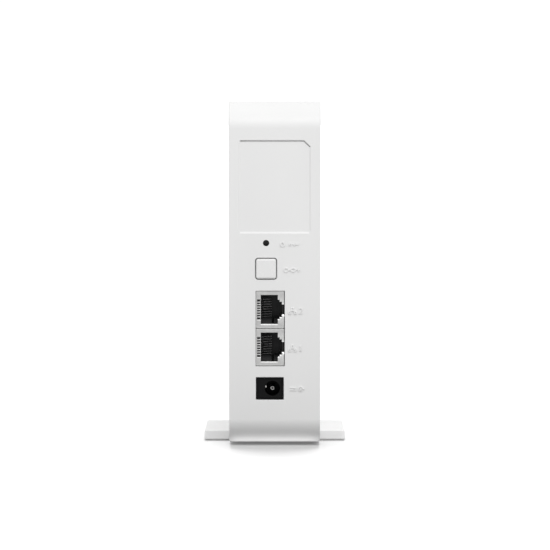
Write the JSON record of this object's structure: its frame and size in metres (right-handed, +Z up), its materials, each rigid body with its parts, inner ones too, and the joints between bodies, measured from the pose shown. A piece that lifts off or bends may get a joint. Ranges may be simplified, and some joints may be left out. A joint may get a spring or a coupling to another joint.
{
  "type": "mesh wifi node",
  "caption": "Slim upright wireless network node on a flat cross-bar stand, with a port panel, press button and vented side panels.",
  "frame": {"origin": "on the surface that the node stands on, at the centre of its overall box in plan", "axes": "+Z up; the port panel faces -Y and the status light +Y; +X is to the right as seen from the port side"},
  "size_m": [0.0594, 0.0812, 0.1425],
  "materials": {
    "cover_plastic": "white satin moulded plastic",
    "panel_plastic": "white fine-textured moulded plastic",
    "stand_plastic": "white satin moulded plastic",
    "button_plastic": "white satin moulded plastic",
    "sole_rubber": "pale grey soft rubber",
    "shield_metal": "tin-plated drawn steel, satin",
    "insert_plastic": "black glass-filled moulded plastic",
    "inlet_plastic": "black moulded plastic",
    "contact_metal": "thin gold plating, satin",
    "pin_metal": "bright nickel plating",
    "screw_steel": "zinc-plated steel",
    "board_laminate": "green solder mask over glass laminate",
    "switch_plastic": "black moulded plastic",
    "chip_epoxy": "black moulding compound",
    "pad_silicone": "soft grey-blue silicone",
    "sink_aluminium": "extruded aluminium, clear anodised",
    "can_metal": "tin-plated sheet, dull",
    "lamp_lens": "translucent lamp body",
    "pipe_lens": "clear moulded light pipe, frosted face",
    "antenna_laminate": "dark solder mask over copper and laminate",
    "coax_jacket": "black jacket on a thin coaxial lead"
  },
  "bodies": {
    "housing": {"rear_cover": "cover_plastic", "front_cover": "cover_plastic", "left_panel": "panel_plastic", "right_panel": "panel_plastic", "stand_shell": "stand_plastic", "stand_base": "stand_plastic", "stand_sole": "sole_rubber", "stand_screw_1": "screw_steel", "stand_screw_2": "screw_steel", "jack_shield_1": "shield_metal", "jack_insert_1": "insert_plastic", "jack_contacts_1": "contact_metal", "jack_shield_2": "shield_metal", "jack_insert_2": "insert_plastic", "jack_contacts_2": "contact_metal", "inlet_housing": "inlet_plastic", "inlet_pin": "pin_metal", "inlet_leaf": "pin_metal", "main_board": "board_laminate", "board_screw_1": "screw_steel", "board_screw_2": "screw_steel", "board_screw_3": "screw_steel", "board_screw_4": "screw_steel", "pair_switch": "switch_plastic", "reset_switch": "switch_plastic", "line_transformer_1": "chip_epoxy", "line_transformer_2": "chip_epoxy", "processor": "chip_epoxy", "thermal_pad": "pad_silicone", "heat_sink": "sink_aluminium", "memory_chip": "chip_epoxy", "flash_chip": "chip_epoxy", "clock_crystal": "can_metal", "radio_chip_1": "chip_epoxy", "radio_can_1": "can_metal", "radio_chip_2": "chip_epoxy", "radio_can_2": "can_metal", "power_choke": "chip_epoxy", "capacitor_1": "can_metal", "capacitor_2": "can_metal", "status_led": "lamp_lens", "light_pipe": "pipe_lens", "coax_socket_1": "contact_metal", "coax_socket_2": "contact_metal", "coax_plug_1": "contact_metal", "coax_plug_2": "contact_metal", "antenna_1": "antenna_laminate", "antenna_2": "antenna_laminate", "antenna_lead_1": "coax_jacket", "antenna_lead_2": "coax_jacket"},
    "pair_button": {"pair_button": "button_plastic"},
    "pair_plunger": {"pair_plunger": "switch_plastic"},
    "reset_plunger": {"reset_plunger": "switch_plastic"}
  },
  "joints": [
    {"name": "pair_button_press", "type": "slide", "parent": "housing", "child": "pair_button", "axis": [0, 1, 0], "range_m": [0, 0.0003], "stiffness_N_per_m": 1500},
    {"name": "pair_plunger_press", "type": "slide", "parent": "housing", "child": "pair_plunger", "axis": [0, 1, 0], "range_m": [0, 0.0003]},
    {"name": "reset_plunger_press", "type": "slide", "parent": "housing", "child": "reset_plunger", "axis": [0, 1, 0], "range_m": [0, 0.00025], "stiffness_N_per_m": 1500}
  ],
  "couplings": [
    {"joint": "pair_plunger_press", "follows": "pair_button_press", "ratio": 1}
  ]
}
